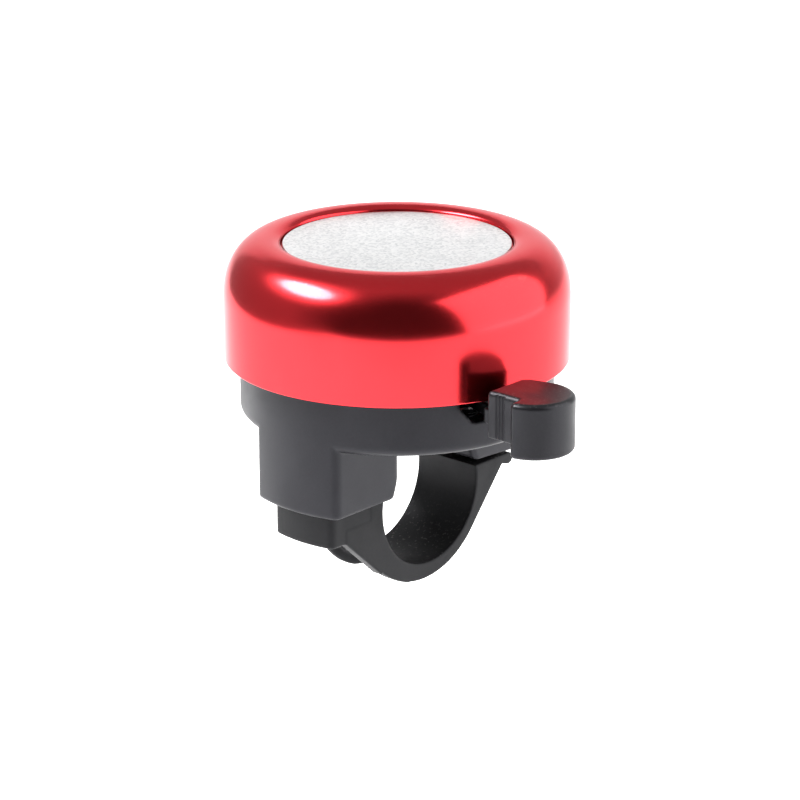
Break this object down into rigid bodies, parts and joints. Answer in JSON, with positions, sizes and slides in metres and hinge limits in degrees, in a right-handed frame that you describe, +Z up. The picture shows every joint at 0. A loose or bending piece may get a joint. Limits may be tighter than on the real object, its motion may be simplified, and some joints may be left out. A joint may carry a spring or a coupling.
{
  "type": "bicycle bell",
  "caption": "Handlebar bell with a red metal dome, a thumb lever that spins clappers through gears, and a hinged strap clamp closed by a screw.",
  "frame": {"origin": "centre of the clamp, on the handlebar's axis", "axes": "+X along the handlebar towards the thumb lever, +Z up along the bell's axis, -Y the clamp screw's side"},
  "size_m": [0.0693, 0.0554, 0.0564],
  "materials": {
    "red_anodised": "bright red anodised, mirror-polished",
    "silver_disc": "fine satin silver with a slight sparkle",
    "black_plastic": "satin moulded black",
    "strap_plastic": "matt, finely textured black",
    "white_acetal": "natural moulded acetal",
    "zinc_steel": "bright zinc plated",
    "spring_steel": "drawn wire and stamped spring steel"
  },
  "bodies": {
    "root": {"base_housing": "black_plastic", "dome": "red_anodised", "top_disc": "silver_disc", "spindle": "zinc_steel", "rotor_clip": "spring_steel", "dome_spacer": "zinc_steel", "dome_washer": "zinc_steel", "dome_nut": "zinc_steel", "lever_pin": "zinc_steel", "lever_clip": "spring_steel", "lever_spring": "spring_steel", "idler_pin": "zinc_steel", "idler_clip": "spring_steel", "clamp_nut": "zinc_steel", "strap_hinge_pin": "zinc_steel"},
    "lever": {"thumb_lever": "black_plastic"},
    "idler": {"idler_gear": "white_acetal"},
    "rotor": {"rotor_pinion": "white_acetal", "clapper_arm": "zinc_steel", "clapper_pin_a": "zinc_steel", "clapper_pin_b": "zinc_steel"},
    "clapper_a": {"clapper_a": "zinc_steel"},
    "clapper_b": {"clapper_b": "zinc_steel"},
    "strap": {"clamp_strap": "strap_plastic"},
    "screw": {"clamp_screw": "zinc_steel"}
  },
  "joints": [
    {"name": "lever_hinge", "type": "hinge", "parent": "root", "child": "lever", "pos_m": [0.013, 0, 0.0209], "axis": [0, 0, 1], "range_deg": [0, 32], "stiffness_Nm_per_rad": 0.04, "springref_deg": -14.9, "deforming": ["lever_spring"]},
    {"name": "idler_spin", "type": "hinge", "parent": "root", "child": "idler", "pos_m": [0.00451, 0.00848, 0.0229], "axis": [0, 0, 1], "range_deg": [-97, 0]},
    {"name": "rotor_spin", "type": "hinge", "parent": "root", "child": "rotor", "pos_m": [0, -0.001, 0.0259], "axis": [0, 0, 1], "range_deg": [0, 241]},
    {"name": "clapper_a_slide", "type": "slide", "parent": "rotor", "child": "clapper_a", "axis": [1, 0, 0], "range_m": [0, 0.0009]},
    {"name": "clapper_b_slide", "type": "slide", "parent": "rotor", "child": "clapper_b", "axis": [-1, 0, 0], "range_m": [0, 0.0009]},
    {"name": "strap_hinge", "type": "hinge", "parent": "root", "child": "strap", "pos_m": [0, 0.01975, 0.001], "axis": [1, 0, 0], "range_deg": [0, 60]},
    {"name": "screw_slide", "type": "slide", "parent": "strap", "child": "screw", "axis": [0, 0, -1], "range_m": [0, 0.009]}
  ],
  "couplings": [
    {"joint": "idler_spin", "follows": "lever_hinge", "ratio": -3},
    {"joint": "rotor_spin", "follows": "lever_hinge", "ratio": 7.5}
  ]
}
